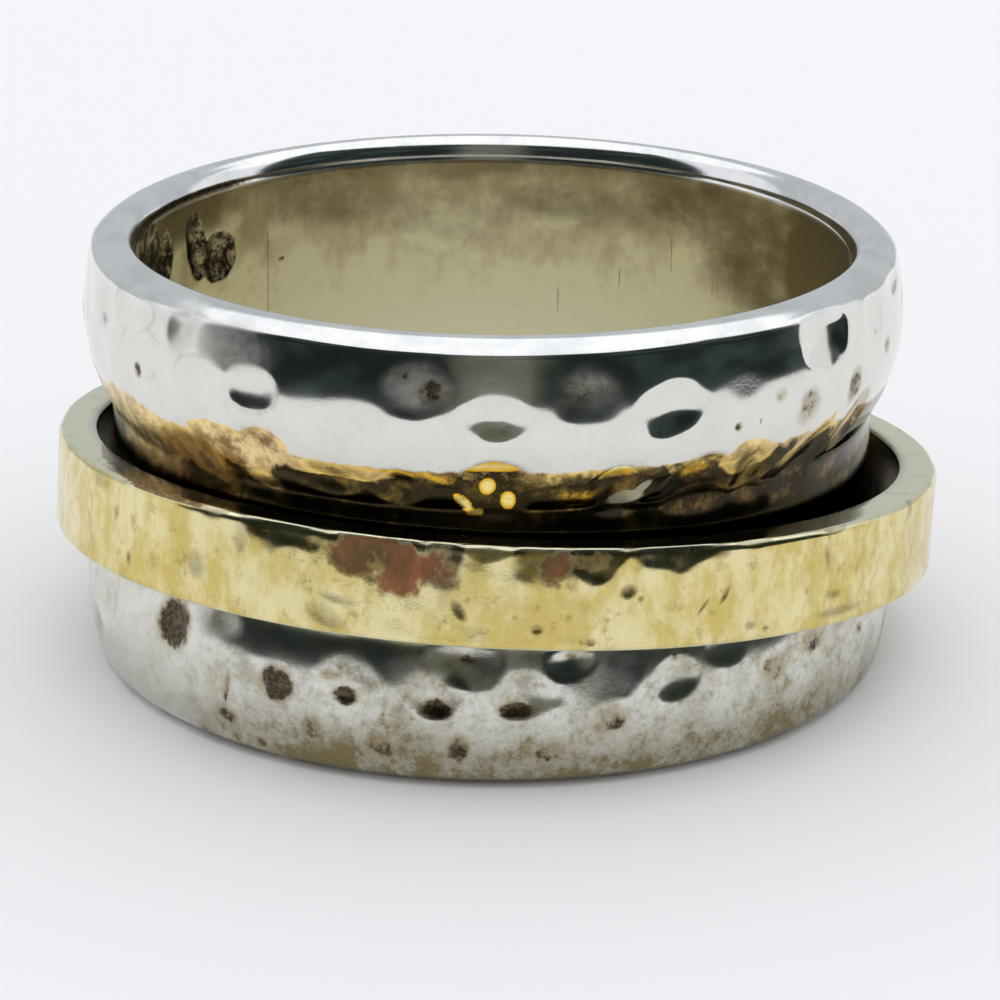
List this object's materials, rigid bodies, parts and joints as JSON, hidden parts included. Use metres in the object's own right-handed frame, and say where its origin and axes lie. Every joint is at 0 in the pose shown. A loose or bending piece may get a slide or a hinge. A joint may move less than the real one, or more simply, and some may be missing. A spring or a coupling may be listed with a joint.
{
  "type": "spinner ring",
  "caption": "Wide hammered finger ring with a rounded lip at each end and a loose flat hoop that turns in the waist between its rails.",
  "frame": {"origin": "on the axis of the finger bore, level with the lower lip that the ring stands on", "axes": "+Z along the axis of the finger bore, -Y towards the front that the picture shows, +X to its right"},
  "size_m": [0.0218, 0.0219, 0.0106],
  "materials": {
    "silver": "polished and hammered silver with light tarnish in the dents, satin inside the bore",
    "gold": "pale yellow gold with shallow hammer flats, scratches and brown stains"
  },
  "bodies": {
    "band": {"band": "silver"},
    "spinner": {"spinner": "gold"}
  },
  "joints": [
    {"name": "spinner_spin", "type": "hinge", "parent": "band", "child": "spinner", "pos_m": [0.00014, 0.00036, 0.00389], "axis": [0.0384, 0.094, 0.9948], "continuous": true}
  ]
}
